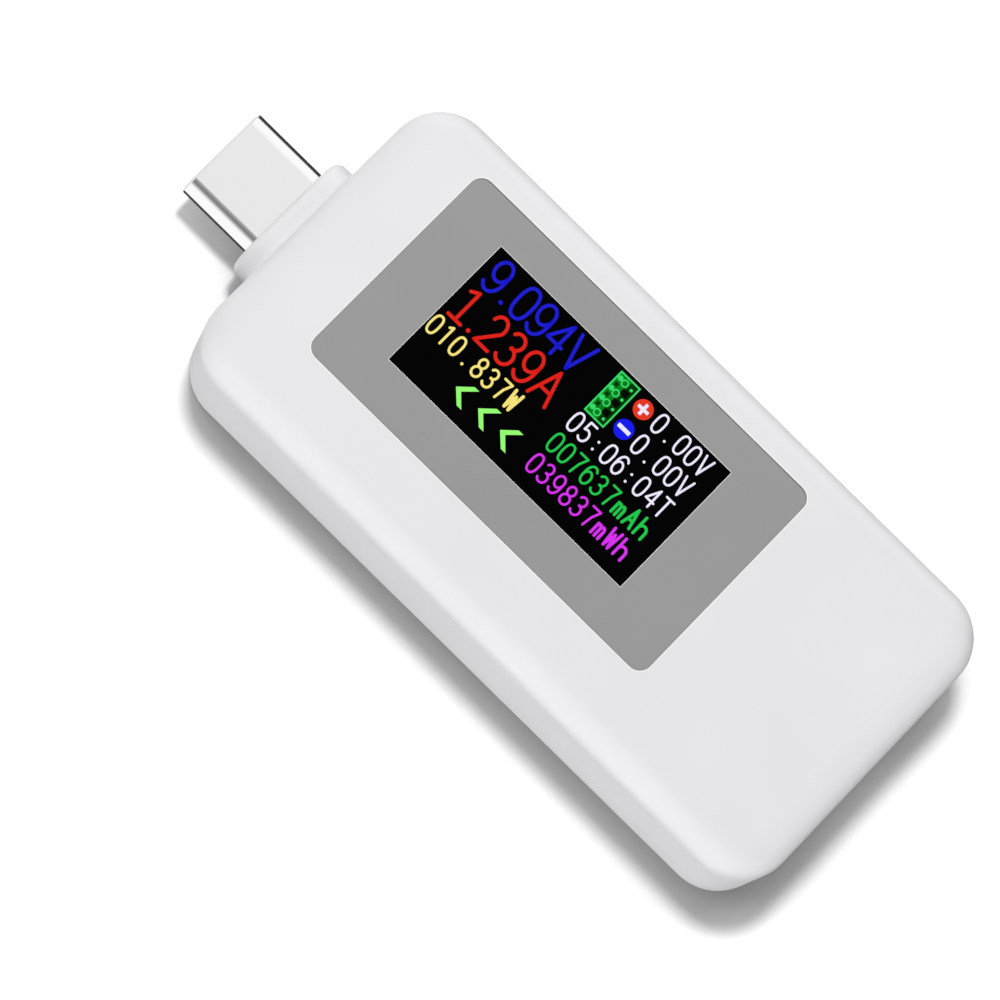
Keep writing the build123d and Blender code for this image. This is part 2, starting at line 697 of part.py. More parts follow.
with BuildPart() as plug_contacts_upper:
    for across in contact_places:
        profile = strip_profile(plug_upper_strip, across)
        extrude(profile, amount=CONTACT_WIDTH / 2, both=True)
plug_contacts_upper.part.label = "plug_contacts_upper"
export_step(plug_contacts_upper.part, "parts/plug_contacts_upper.step")


with BuildPart() as plug_contacts_lower:
    for across in contact_places:
        profile = strip_profile(plug_lower_strip, across)
        extrude(profile, amount=CONTACT_WIDTH / 2, both=True)
plug_contacts_lower.part.label = "plug_contacts_lower"
export_step(plug_contacts_lower.part, "parts/plug_contacts_lower.step")


# Two arms that grip the tongue's sides, each with a hook near the tip
latch_y = PLUG_SLOT_WIDTH / 2 - 0.25
with BuildPart() as plug_latches:
    for side in (-1, 1):
        with BuildSketch(connector_level.offset(-LATCH_DEPTH / 2)):
            with BuildLine():
                FilletPolyline(
                    (spring_tip - 0.2, side * latch_y),
                    (spring_tip + 0.7, side * (latch_y - 0.3)),
                    (spring_tip + 1.7, side * latch_y),
                    (plug_shell_end - 3.0, side * latch_y),
                    radius=0.2,
                )
            trace(line_width=LATCH_SHEET)
        extrude(amount=LATCH_DEPTH)
plug_latches.part.label = "plug_latches"
export_step(plug_latches.part, "parts/plug_latches.step")


# Thin plates inside the shell's mouth, above and below the slot
with BuildPart() as plug_ground_springs:
    for side in (-1, 1):
        level = side * (sleeve_height / 2 - 0.08)
        with BuildSketch(connector_level.offset(level - GROUND_SHEET / 2)):
            with Locations((plug_tip + 0.45, 0)):
                Rectangle(GROUND_LENGTH, GROUND_WIDTH)
        extrude(amount=GROUND_SHEET)
plug_ground_springs.part.label = "plug_ground_springs"
export_step(plug_ground_springs.part, "parts/plug_ground_springs.step")


# ---------------------------------------------------------------- socket

with BuildPart() as socket_shell:
    with BuildSketch(connector_plane.offset(socket_back)):
        SlotOverall(socket_width, socket_height)
    extrude(amount=SOCKET_LENGTH)
    with BuildSketch(connector_plane.offset(socket_back)):
        SlotOverall(SOCKET_OPENING_WIDTH, SOCKET_OPENING_HEIGHT)
    extrude(amount=SOCKET_LENGTH, mode=Mode.SUBTRACT)
    chamfer(socket_shell.faces().sort_by(Axis.X)[-1].inner_wires()[0].edges(), 0.12)
    # Two tabs each side, soldered through the board
    for side in (-1, 1):
        for x in socket_tab_places:
            with BuildSketch(Plane.XY.offset(CONNECTOR_Z)):
                with Locations((x, side * socket_tab_y)):
                    Rectangle(TAB_LENGTH, TAB_THICKNESS)
            extrude(amount=tab_top - CONNECTOR_Z)
socket_shell.part.label = "socket_shell"
export_step(socket_shell.part, "parts/socket_shell.step")


tongue_root = socket_back + TONGUE_BLOCK_LENGTH
tongue_shoulder = tongue_root + TONGUE_SHOULDER_LENGTH
with BuildPart() as socket_tongue:
    with BuildSketch(connector_plane.offset(socket_back + 0.1)):
        SlotOverall(SOCKET_OPENING_WIDTH - 0.04, SOCKET_OPENING_HEIGHT - 0.04)
    extrude(amount=tongue_root - socket_back - 0.1)
    with BuildSketch(connector_plane.offset(tongue_root)):
        Rectangle(TONGUE_WIDTH + 0.3, 2 * TONGUE_THICKNESS)
    extrude(amount=tongue_shoulder - tongue_root)
    with BuildSketch(connector_plane.offset(tongue_shoulder)):
        Rectangle(TONGUE_WIDTH, TONGUE_THICKNESS)
    extrude(amount=tongue_tip - tongue_shoulder)
    fillet(socket_tongue.faces().sort_by(Axis.X)[-1].edges(), TONGUE_ROUNDING)
    # The slot across the tongue that the metal plate lies in
    with BuildSketch(Plane.XY.offset(CONNECTOR_Z - MIDPLATE_THICKNESS / 2 - TOUCH_GAP)):
        with Locations(((tongue_shoulder + tongue_tip) / 2 - 0.2, 0)):
            Rectangle(tongue_tip - tongue_shoulder - 0.6, TONGUE_WIDTH + 1)
    extrude(amount=MIDPLATE_THICKNESS + 2 * TOUCH_GAP, mode=Mode.SUBTRACT)
socket_tongue.part.label = "socket_tongue"
export_step(socket_tongue.part, "parts/socket_tongue.step")


with BuildPart() as socket_midplate:
    with BuildSketch(Plane.XY.offset(CONNECTOR_Z - MIDPLATE_THICKNESS / 2)):
        with Locations(((tongue_shoulder + tongue_tip) / 2 - 0.2, 0)):
            Rectangle(tongue_tip - tongue_shoulder - 0.7, TONGUE_WIDTH)
            # The notch in each side that a plug's latch hooks into
            with Locations((0.3, TONGUE_WIDTH / 2), (0.3, -TONGUE_WIDTH / 2)):
                Rectangle(0.8, 0.5, mode=Mode.SUBTRACT)
    extrude(amount=MIDPLATE_THICKNESS)
socket_midplate.part.label = "socket_midplate"
export_step(socket_midplate.part, "parts/socket_midplate.step")


# Each contact lies on the tongue, passes through the block and ends as a tail under the
# board, the lower row's tails one row further in.
pad_z = TONGUE_THICKNESS / 2 + CONTACT_THICKNESS / 2 - 0.06
pad_start_x = tongue_tip - 0.5
socket_upper_strip = (
    (pad_start_x, pad_z),
    (socket_back - 0.2, pad_z),
    (socket_back - 0.2, tail_z),
    (socket_back - 0.8, tail_z),
)
socket_lower_strip = (
    (pad_start_x, -pad_z),
    (socket_back - 1.1, -pad_z),
    (socket_back - 1.1, tail_z),
    (socket_back - 1.7, tail_z),
)

with BuildPart() as socket_contacts_upper:
    for across in contact_places:
        profile = strip_profile(socket_upper_strip, across)
        extrude(profile, amount=CONTACT_WIDTH / 2, both=True)
socket_contacts_upper.part.label = "socket_contacts_upper"
export_step(socket_contacts_upper.part, "parts/socket_contacts_upper.step")


with BuildPart() as socket_contacts_lower:
    for across in contact_places:
        profile = strip_profile(socket_lower_strip, across)
        extrude(profile, amount=CONTACT_WIDTH / 2, both=True)
socket_contacts_lower.part.label = "socket_contacts_lower"
export_step(socket_contacts_lower.part, "parts/socket_contacts_lower.step")


# ---------------------------------------------------------------- button and switch

plunger_nose = SWITCH_FRONT_Y + PLUNGER_PROUD
button_root = plunger_nose + 0.04
flange_face = inner_width / 2 - 0.05
button_face = CASE_WIDTH / 2 + BUTTON_PROUD

with BuildPart() as side_button:
    with BuildSketch(button_plane.offset(-button_face)):
        SlotOverall(BUTTON_LENGTH, BUTTON_HEIGHT)
    extrude(amount=button_face - flange_face)
    fillet(side_button.faces().sort_by(Axis.Y)[-1].edges(), BUTTON_ROUNDING)
    # The flange inside the case that keeps the button in
    with BuildSketch(button_plane.offset(-flange_face)):
        RectangleRounded(
            BUTTON_LENGTH + 2 * FLANGE_MARGIN, BUTTON_HEIGHT + FLANGE_MARGIN, 0.4
        )
    extrude(amount=FLANGE_THICKNESS)
    # The stem that reaches the switch
    with BuildSketch(button_plane.offset(-flange_face + FLANGE_THICKNESS)):
        Rectangle(PLUNGER_WIDTH, PLUNGER_HEIGHT)
    extrude(amount=flange_face - FLANGE_THICKNESS - button_root)
side_button.part.label = "side_button"
export_step(side_button.part, "parts/side_button.step")


switch_back_y = SWITCH_FRONT_Y - SWITCH_DEPTH
switch_top = board_base - TOUCH_GAP
switch_base = switch_top - SWITCH_HEIGHT
hollow_back_y = switch_back_y + SWITCH_WALL
hollow_front_y = SWITCH_FRONT_Y - SWITCH_WALL
with BuildPart() as switch_body:
    with BuildSketch(Plane.XY.offset(switch_base)):
        with Locations((BUTTON_X, (switch_back_y + SWITCH_FRONT_Y) / 2)):
            Rectangle(SWITCH_WIDTH, SWITCH_DEPTH)
    extrude(amount=SWITCH_HEIGHT)
    # The hollow for the dome and the plunger's head, open on the cover's side
    with BuildSketch(Plane.XY.offset(switch_base)):
        with Locations((BUTTON_X, (hollow_back_y + hollow_front_y) / 2)):
            Rectangle(SWITCH_WIDTH - 2 * SWITCH_WALL, hollow_front_y - hollow_back_y)
    extrude(amount=SWITCH_HEIGHT - SWITCH_WALL, mode=Mode.SUBTRACT)
    # The way out for the plunger's nose
    with BuildSketch(button_plane.offset(-SWITCH_FRONT_Y - 0.5)):
        Rectangle(PLUNGER_WIDTH + 2 * RUNNING_GAP, PLUNGER_HEIGHT + 2 * RUNNING_GAP)
    extrude(amount=SWITCH_WALL + 1.0, mode=Mode.SUBTRACT)
switch_body.part.label = "switch_body"
export_step(switch_body.part, "parts/switch_body.step")


with BuildPart() as switch_plunger:
    plunger_root = hollow_front_y - RUNNING_GAP - PLUNGER_HEAD
    with BuildSketch(button_plane.offset(-plunger_nose)):
        Rectangle(PLUNGER_WIDTH, PLUNGER_HEIGHT)
    extrude(amount=plunger_nose - plunger_root)
    fillet(switch_plunger.faces().sort_by(Axis.Y)[-1].edges().filter_by(Axis.Z), 0.2)
    # The head inside, wider than the way out
    with BuildSketch(button_plane.offset(-plunger_root - PLUNGER_HEAD)):
        Rectangle(PLUNGER_WIDTH + 0.9, PLUNGER_HEIGHT + 0.2)
    extrude(amount=PLUNGER_HEAD)
switch_plunger.part.label = "switch_plunger"
export_step(switch_plunger.part, "parts/switch_plunger.step")


# The sprung dome: a shallow arc that stands on the hollow's back wall
with BuildPart() as switch_dome:
    dome_half = SWITCH_WIDTH / 2 - SWITCH_WALL - 0.15
    dome_top = plunger_root - 0.03 - DOME_THICKNESS / 2
    dome_foot = dome_top - DOME_RISE
    with BuildSketch(Plane.XY.offset(BUTTON_Z - DOME_WIDTH / 2)):
        with BuildLine():
            ThreePointArc(
                (BUTTON_X - dome_half, dome_foot),
                (BUTTON_X, dome_top),
                (BUTTON_X + dome_half, dome_foot),
            )
        trace(line_width=DOME_THICKNESS)
    extrude(amount=DOME_WIDTH)
switch_dome.part.label = "switch_dome"
export_step(switch_dome.part, "parts/switch_dome.step")


# A folded metal cover: a plate under the hollow and a flap up each side
cover_sheet = 0.12
flap_width = 1.6
flap_height = 1.1
with BuildPart() as switch_cover:
    with BuildSketch(Plane.XY.offset(switch_base - TOUCH_GAP - cover_sheet)):
        with Locations((BUTTON_X, (switch_back_y + SWITCH_FRONT_Y) / 2)):
            Rectangle(SWITCH_WIDTH + 0.3, SWITCH_DEPTH)
    extrude(amount=cover_sheet)
    flap_x = SWITCH_WIDTH / 2 + 0.15 - cover_sheet / 2
    for side in (-1, 1):
        with BuildSketch(Plane.XY.offset(switch_base - TOUCH_GAP - cover_sheet)):
            with Locations(
                (BUTTON_X + side * flap_x, (switch_back_y + SWITCH_FRONT_Y) / 2)
            ):
                Rectangle(cover_sheet, flap_width)
        extrude(amount=flap_height)
switch_cover.part.label = "switch_cover"
export_step(switch_cover.part, "parts/switch_cover.step")


with BuildPart() as switch_terminals:
    with BuildSketch(Plane.XY.offset(switch_top)):
        with Locations((BUTTON_X, (switch_back_y + SWITCH_FRONT_Y) / 2)):
            with GridLocations(SWITCH_WIDTH + 0.9, 1.8, 2, 2):
                Rectangle(0.8, 0.5)
    extrude(amount=-0.12)
switch_terminals.part.label = "switch_terminals"
export_step(switch_terminals.part, "parts/switch_terminals.step")
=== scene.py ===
"""The look of the USB power meter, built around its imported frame. Lengths are in metres."""

import json

import bmesh
import bpy
from math import atan2, ceil, cos, hypot, pi, radians, sin
from mathutils import Matrix, Vector


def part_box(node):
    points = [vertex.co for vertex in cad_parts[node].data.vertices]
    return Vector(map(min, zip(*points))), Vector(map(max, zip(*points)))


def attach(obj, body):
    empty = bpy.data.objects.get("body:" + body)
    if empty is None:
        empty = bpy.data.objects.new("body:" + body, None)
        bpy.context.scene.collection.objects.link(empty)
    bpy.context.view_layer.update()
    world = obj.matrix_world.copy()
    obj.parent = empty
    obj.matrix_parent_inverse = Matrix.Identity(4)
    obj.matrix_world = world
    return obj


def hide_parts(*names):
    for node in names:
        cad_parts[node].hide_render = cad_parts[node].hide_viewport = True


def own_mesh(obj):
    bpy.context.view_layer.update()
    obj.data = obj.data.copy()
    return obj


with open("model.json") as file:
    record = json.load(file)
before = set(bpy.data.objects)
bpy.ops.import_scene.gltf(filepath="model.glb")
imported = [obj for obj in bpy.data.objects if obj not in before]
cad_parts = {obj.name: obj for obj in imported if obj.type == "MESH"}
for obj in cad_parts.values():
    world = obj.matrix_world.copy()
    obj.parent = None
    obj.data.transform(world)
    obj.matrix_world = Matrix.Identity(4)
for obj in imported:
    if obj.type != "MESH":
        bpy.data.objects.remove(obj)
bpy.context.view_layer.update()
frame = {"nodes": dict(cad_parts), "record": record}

MM = 0.001
METER = "meter"

overlay_low, overlay_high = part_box("display_overlay")
window_low, window_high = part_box("display_window")
case_low, case_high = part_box("top_case")


# ------------------------------------------------------------------ material helpers


class Finish:
    """A new material with its own node tree and one Principled shader."""

    def __init__(self, name, **constants):
        self.material = bpy.data.materials.new(name)
        self.material.use_nodes = True
        self.nodes = self.material.node_tree.nodes
        self.links = self.material.node_tree.links
        self.shader = self.nodes["Principled BSDF"]
        for socket, value in constants.items():
            self.shader.inputs[socket.replace("_", " ")].default_value = value

    def node(self, kind, **inputs):
        """A node of a kind, with its inputs given as values or as another node's output."""
        made = self.nodes.new("ShaderNode" + kind)
        for socket, value in inputs.items():
            target = made.inputs[socket.replace("_", " ")]
            if isinstance(value, bpy.types.NodeSocket):
                self.links.new(value, target)
            else:
                target.default_value = value
        return made

    def place(self):
        """Position on the piece, in the frame's metres."""
        return self.node("TexCoord").outputs["Object"]

    def noise(self, scale, detail=2.0, roughness=0.5, at=None):
        vector = at or self.place()
        made = self.node("TexNoise", Vector=vector, Scale=scale, Detail=detail, Roughness=roughness)
        return made.outputs["Fac"]

    def blend(self, factor, stops):
        """A ramp over a factor: stops are (position, colour) pairs."""
        ramp = self.node("ValToRGB", Fac=factor)
        elements = ramp.color_ramp.elements
        while len(elements) < len(stops):
            elements.new(0.5)
        for element, (position, colour) in zip(elements, stops):
            element.position = position
            element.color = (*colour, 1.0)
        return ramp.outputs["Color"]

    def span(self, value, low, high):
        """A factor from 0 to 1 mapped to a range."""
        made = self.node("MapRange", Value=value)
        made.inputs["To Min"].default_value = low
        made.inputs["To Max"].default_value = high
        return made.outputs["Result"]

    def feed(self, socket, output):
        self.links.new(output, self.shader.inputs[socket])

    def bump(self, height, strength, distance):
        made = self.node("Bump", Height=height, Strength=strength, Distance=distance)
        self.feed("Normal", made.outputs["Normal"])


def grey(level):
    return (level, level, level)


# ------------------------------------------------------------------ materials


# Noise scales are in cycles per metre, and depths in metres
TONE_SCALE = 90.0
GLOSS_SCALE = 420.0
GRAIN_DEPTH = 0.02 * MM
BRUSH_DEPTH = 0.01 * MM
ROUGHNESS_SPREAD = 0.04
DOT_SCALE = 7400.0
DOT_SHADE = 0.94


def moulded_plastic(name, dark, light, rough, grain_scale=9000.0, grain=0.06):
    """Moulded plastic: faint tone drift, a slightly uneven gloss and a fine spark-eroded grain."""
    finish = Finish(name, IOR=1.49)
    drift = finish.noise(TONE_SCALE, detail=3.0)
    finish.feed("Base Color", finish.blend(drift, [(0.3, dark), (0.7, light)]))
    gloss = finish.noise(GLOSS_SCALE)
    finish.feed("Roughness", finish.span(gloss, rough - ROUGHNESS_SPREAD, rough + ROUGHNESS_SPREAD))
    finish.bump(finish.noise(grain_scale, detail=3.0), grain, GRAIN_DEPTH)
    return finish


def brushed_metal(name, dark, light, rough, stretch=(60.0, 2600.0, 2600.0), grain=0.05):
    """Rolled and polished sheet: fine drawn lines along +X."""
    finish = Finish(name, Metallic=1.0)
    lines = finish.node("Mapping", Vector=finish.place(), Scale=stretch).outputs["Vector"]
    drawn = finish.noise(1.0, detail=4.0, at=lines)
    finish.feed("Base Color", finish.blend(drawn, [(0.3, dark), (0.7, light)]))
    finish.feed("Roughness", finish.span(drawn, rough - 0.03, rough + ROUGHNESS_SPREAD))
    finish.bump(drawn, grain, BRUSH_DEPTH)
    return finish


def lit(name, colour, gloss=0.1):
    """A lit display colour: a faint dot pattern modulates the light."""
    finish = Finish(name, Roughness=0.6, Specular_IOR_Level=gloss)
    shade = tuple(channel * DOT_SHADE for channel in colour)
    dots = finish.noise(DOT_SCALE, detail=0.0)
    finish.feed("Emission Color", finish.blend(dots, [(0.35, shade), (0.65, colour)]))
    finish.shader.inputs["Emission Strength"].default_value = 1.0
    finish.shader.inputs["Base Color"].default_value = (0.0, 0.0, 0.0, 1.0)
    return finish


WHITE_DARK = (0.654, 0.655, 0.668)
WHITE_LIGHT = (0.673, 0.674, 0.686)
white_plastic = moulded_plastic("white_case_plastic", WHITE_DARK, WHITE_LIGHT, 0.34)
panel_grey = moulded_plastic("grey_panel_print", grey(0.249), grey(0.262), 0.52, 14000.0, 0.10)
# Painted highlight: light grey on the sloped frame at the window's edge, on top of the light its
# slope catches
window_edge = moulded_plastic("window_edge_painted_highlight", grey(0.62), grey(0.68), 0.35)
# Painted highlight: lighter than the case's white, standing in for the glint along the panel's recess
# edge
painted_highlight_rim = moulded_plastic("panel_edge_painted_highlight", grey(0.78), grey(0.82), 0.35)
window_black = moulded_plastic("smoked_window", grey(0.0004), grey(0.0007), 0.08, 3000.0, 0.01)
window_black.shader.inputs["Specular IOR Level"].default_value = 0.01
connector_black = moulded_plastic("connector_plastic", grey(0.010), grey(0.016), 0.45)
inner_white = moulded_plastic("inner_white_plastic", grey(0.62), grey(0.68), 0.5)
board_green = moulded_plastic("solder_mask", (0.012, 0.075, 0.035), (0.02, 0.10, 0.05), 0.35)
chip_black = moulded_plastic("chip_epoxy", grey(0.018), grey(0.028), 0.55, 6000.0, 0.2)
tan_ceramic = moulded_plastic("tan_ceramic", (0.34, 0.24, 0.14), (0.42, 0.31, 0.19), 0.4)
foam_black = moulded_plastic("foam", grey(0.02), grey(0.04), 0.95, 2500.0, 0.8)
flex_amber = moulded_plastic("flex_film", (0.36, 0.17, 0.04), (0.45, 0.23, 0.06), 0.3)
film = moulded_plastic("adhesive_film", grey(0.5), grey(0.56), 0.4)
display_glass = moulded_plastic("display_glass", (0.30, 0.33, 0.33), (0.36, 0.39, 0.39), 0.05)
steel = brushed_metal("polished_steel", grey(0.835), grey(0.845), 0.10, (40.0, 1400.0, 1400.0), 0.004)
plated = brushed_metal("plated_steel", (0.55, 0.54, 0.5), (0.64, 0.63, 0.6), 0.25)
gold = brushed_metal("gold_plate", (0.80, 0.56, 0.22), (0.88, 0.64, 0.28), 0.22)

FINISH_OF_SLOT = {
    "case_plastic": white_plastic,
    "overlay_grey": panel_grey,
    "display_black": window_black,
    "adhesive_film": film,
    "foam": foam_black,
    "polarizer_film": window_black,
    "display_glass": display_glass,
    "silicon": chip_black,
    "light_guide": inner_white,
    "white_plastic": inner_white,
    "flex_film": flex_amber,
    "board_laminate": board_green,
    "chip_epoxy": chip_black,
    "ceramic_grey": chip_black,
    "ceramic_tan": tan_ceramic,
    "plated_steel": plated,
    "polished_steel": steel,
    "connector_plastic": connector_black,
    "gold_plate": gold,
}

for part in frame["record"]["subparts"]:
    node = frame["nodes"][part["node"]]
    for slot in node.material_slots:
        slot.material = FINISH_OF_SLOT[part["material_slot"]].material


# ------------------------------------------------------------------ new pieces


def add_piece(name, mesh_maker, finish):
    """A new mesh piece that rides on the meter."""
    mesh = bpy.data.meshes.new(name)
    shape = bmesh.new()
    mesh_maker(shape)
    bmesh.ops.recalc_face_normals(shape, faces=shape.faces)
    shape.to_mesh(mesh)
    shape.free()
    piece = bpy.data.objects.new(name, mesh)
    bpy.context.scene.collection.objects.link(piece)
    mesh.materials.append(finish.material)
    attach(piece, METER)
    return piece


def add_prism(shape, outline, low, high):
    """A flat closed solid over an outline of (x, y) points, from one height to another."""
    base = [shape.verts.new((x, y, low)) for x, y in outline]
    top = [shape.verts.new((x, y, high)) for x, y in outline]
    shape.faces.new(list(reversed(base)))
    shape.faces.new(top)
    count = len(outline)
    for place in range(count):
        after = (place + 1) % count
        shape.faces.new((base[place], base[after], top[after], top[place]))


def add_rim(shape, rings):
    """A closed frame from rings of (outline, height), each outline with as many points."""
    made = []
    for outline, height in rings:
        made.append([shape.verts.new((x, y, height)) for x, y in outline])
    for step, here in enumerate(made):
        there = made[(step + 1) % len(made)]
        for place in range(len(here)):
            after = (place + 1) % len(here)
            shape.faces.new((here[place], here[after], there[after], there[place]))


def add_flat_ring(shape, outer, inner, low, high):
    """A closed ring with upright sides between two outlines."""
    add_rim(shape, ((outer, low), (outer, high), (inner, high), (inner, low)))


# ------------------------------------------------------------------ display figures

# Figures are strokes in a cell: x runs from 0 to 1 across, y from 0 to 1 down.
ARC_STEP = radians(12)


def bow(cx, cy, rx, ry, start, end, power=2.0):
    """Points along part of an oval, from one clock angle to another in degrees, 0 to the right."""
    steps = max(2, ceil(abs(radians(end - start)) / ARC_STEP))
    points = []
    for step in range(steps + 1):
        turn = radians(start + (end - start) * step / steps)
        x, y = cos(turn), sin(turn)
        reach = (abs(x) ** power + abs(y) ** power) ** (-1 / power)
        points.append((cx + rx * x * reach, cy + ry * y * reach))
    return points


DOT = "dot"
STROKES = {
    "0": [bow(0.5, 0.5, 0.5, 0.5, 0, 360, 2.6)],
    "1": [[(0.22, 0.12), (0.58, 0.0)], [(0.58, 0.0), (0.58, 1.0)]],
    "2": [
        bow(0.5, 0.29, 0.46, 0.29, -165, 22) + [(0.0, 1.0)],
        [(0.0, 1.0), (1.0, 1.0)],
    ],
    "3": [
        bow(0.45, 0.24, 0.45, 0.24, -150, 90),
        bow(0.45, 0.73, 0.5, 0.27, -90, 150),
    ],
    "4": [[(0.76, 1.0), (0.76, 0.0)], [(0.76, 0.0), (0.0, 0.7)], [(0.0, 0.7), (1.0, 0.7)]],
    "5": [
        [(0.95, 0.0), (0.15, 0.0)],
        [(0.15, 0.0), (0.1, 0.43)],
        [(0.1, 0.43)] + bow(0.45, 0.69, 0.5, 0.31, -100, 140),
    ],
    "6": [
        bow(0.5, 0.67, 0.47, 0.33, 0, 360),
        [(0.03, 0.67)] + bow(0.58, 0.42, 0.55, 0.42, -180, -40),
    ],
    "7": [[(0.0, 0.0), (1.0, 0.0)], [(1.0, 0.0), (0.62, 0.45), (0.45, 1.0)]],
    "8": [bow(0.5, 0.24, 0.42, 0.24, 0, 360), bow(0.5, 0.74, 0.5, 0.26, 0, 360)],
    "9": [
        bow(0.5, 0.31, 0.48, 0.31, 0, 360),
        [(0.98, 0.31)] + bow(0.42, 0.58, 0.56, 0.42, 0, 140),
    ],
    "V": [[(0.0, 0.0), (0.5, 1.0)], [(0.5, 1.0), (1.0, 0.0)]],
    "A": [[(0.0, 1.0), (0.5, 0.0)], [(0.5, 0.0), (1.0, 1.0)], [(0.2, 0.64), (0.8, 0.64)]],
    "W": [
        [(0.0, 0.0), (0.2, 1.0)],
        [(0.2, 1.0), (0.5, 0.25)],
        [(0.5, 0.25), (0.8, 1.0)],
        [(0.8, 1.0), (1.0, 0.0)],
    ],
    "T": [[(0.0, 0.0), (1.0, 0.0)], [(0.5, 0.0), (0.5, 1.0)]],
    "m": [
        [(0.0, 0.4), (0.0, 1.0)],
        bow(0.25, 0.6, 0.25, 0.2, -180, 0) + [(0.5, 1.0)],
        bow(0.75, 0.6, 0.25, 0.2, -180, 0) + [(1.0, 1.0)],
    ],
    "h": [[(0.0, 0.0), (0.0, 1.0)], bow(0.5, 0.64, 0.5, 0.26, -180, 0) + [(1.0, 1.0)]],
    ".": [DOT, (0.5, 0.96)],
    ":": [DOT, (0.5, 0.42), (0.5, 0.87)],
}
BIG_ONE = [
    [(0.05, 0.13), (0.55, 0.0)],
    [(0.55, 0.0), (0.55, 1.0)],
    [(0.0, 1.0), (1.0, 1.0)],
]

ink_low = window_high.z - 0.005 * MM
ink_high = window_high.z + 0.018 * MM

# A dot's radius over the pen's width
DOT_SHARE = 0.62


def at_window(x, y):
    """A place on the window: millimetres right of and down from its corner."""
    return (window_low.x + x * MM, window_high.y - y * MM)


def rectangle(left, top, right, bottom):
    corners = ((left, top), (right, top), (right, bottom), (left, bottom))
    return [at_window(*corner) for corner in corners]


def add_disc(shape, centre, radius, low=ink_low, high=ink_high, sides=28):
    x, y = centre
    turns = [2 * pi * side / sides for side in range(sides)]
    add_prism(shape, [(x + radius * cos(t), y + radius * sin(t)) for t in turns], low, high)


def headings(points, closed):
    """The direction of the line at each of its points."""
    last = len(points) - 1
    found = []
    for place in range(last + 1):
        before = points[place - 1 if closed else max(place - 1, 0)]
        after = points[(place + 1) % (last + 1) if closed else min(place + 1, last)]
        found.append(atan2(after[1] - before[1], after[0] - before[0]))
    return found


def beside(points, turns, reach):
    """The line's points moved to its left by a reach, or to its right by a negative one."""
    return [(x - reach * sin(t), y + reach * cos(t)) for (x, y), t in zip(points, turns)]


def round_end(point, heading, half):
    """Points around the end of a stroke, from its left side to its right."""
    x, y = point
    turns = [heading + pi / 2 - pi / 8 * step for step in range(1, 8)]
    return [(x + half * cos(turn), y + half * sin(turn)) for turn in turns]


def add_stroke(shape, points, width):
    """A flat stroke along points of the window: a ring, or a line with round ends."""
    half = width / 2
    closed = hypot(points[0][0] - points[-1][0], points[0][1] - points[-1][1]) < half / 10
    if closed:
        points = points[:-1]
    turns = headings(points, closed)
    left, right = beside(points, turns, half), beside(points, turns, -half)
    if closed:
        add_flat_ring(shape, left, right, ink_low, ink_high)
        return
    end = round_end(points[-1], turns[-1], half)
    start = round_end(points[0], turns[0] - pi, half)
    add_prism(shape, left + end + right[::-1] + start, ink_low, ink_high)


def add_figure(shape, strokes, left, top, width, height, pen):
    """One figure with its ink's corner at (left, top), in millimetres on the window."""

    def spot(point):
        x = left + pen / 2 + point[0] * (width - pen)
        y = top + pen / 2 + point[1] * (height - pen)
        return at_window(x, y)

    if strokes[0] == DOT:
        for point in strokes[1:]:
            add_disc(shape, spot(point), pen * DOT_SHARE * MM)
        return
    for points in strokes:
        add_stroke(shape, [spot(point) for point in points], pen * MM)


# The small face: one figure per cell
SMALL_PITCH = 1.12
SMALL_ROW = 2.17
SMALL_TOP = 0.27
SMALL_WIDTH = 0.92
SMALL_HEIGHT = 1.74
SMALL_PEN = 0.17
UNIT_WEIGHT = 1.3
RIGHT_COLUMN = 12.43
LEFT_COLUMN = 0.14
LEFT_PITCH = 1.135

# The large face: each figure has its own place
LARGE_WIDTH = 1.6
LARGE_HEIGHT = 2.98
LARGE_PEN = 0.27


def small_text(name, text, row, finish, left=RIGHT_COLUMN, pitch=SMALL_PITCH, pen=SMALL_PEN):
    """One line of the small face. A space leaves its cell empty."""

    def draw(shape):
        top = SMALL_TOP + row * SMALL_ROW
        for cell, letter in enumerate(text):
            if letter != " ":
                place = left + cell * pitch
                width = pen * UNIT_WEIGHT if letter in "mAWh" else pen
                add_figure(shape, STROKES[letter], place, top, SMALL_WIDTH, SMALL_HEIGHT, width)

    return add_piece(name, draw, finish)


def large_text(name, figures, top, finish):
    """One line of the large face, from (figure, left, width) entries."""

    def draw(shape):
        for letter, left, width in figures:
            strokes = BIG_ONE if letter == "1" else STROKES[letter]
            add_figure(shape, strokes, left, top, width, LARGE_HEIGHT, LARGE_PEN)

    return add_piece(name, draw, finish)


lit_blue = lit("lit_blue", (0.008, 0.008, 0.62))
lit_red = lit("lit_red", (0.74, 0.012, 0.006))
lit_yellow = lit("lit_yellow", (0.93, 0.78, 0.20))
lit_lime = lit("lit_lime", (0.30, 0.98, 0.17))
lit_white = lit("lit_white", (0.86, 0.82, 0.98))
lit_green = lit("lit_green", (0.012, 0.58, 0.07))
lit_mid_green = lit("lit_mid_green", (0.003, 0.22, 0.012), 0.01)
lit_dark_green = lit("lit_dark_green", (0.001, 0.040, 0.002), 0.01)
lit_dim_green = lit("lit_dim_green", (0.0008, 0.003, 0.001), 0.01)
lit_mint = lit("lit_mint", (0.035, 0.72, 0.14))
lit_magenta = lit("lit_magenta", (0.70, 0.03, 0.86))
lit_badge_red = lit("lit_badge_red", (0.80, 0.035, 0.012))
lit_badge_blue = lit("lit_badge_blue", (0.004, 0.006, 0.86))

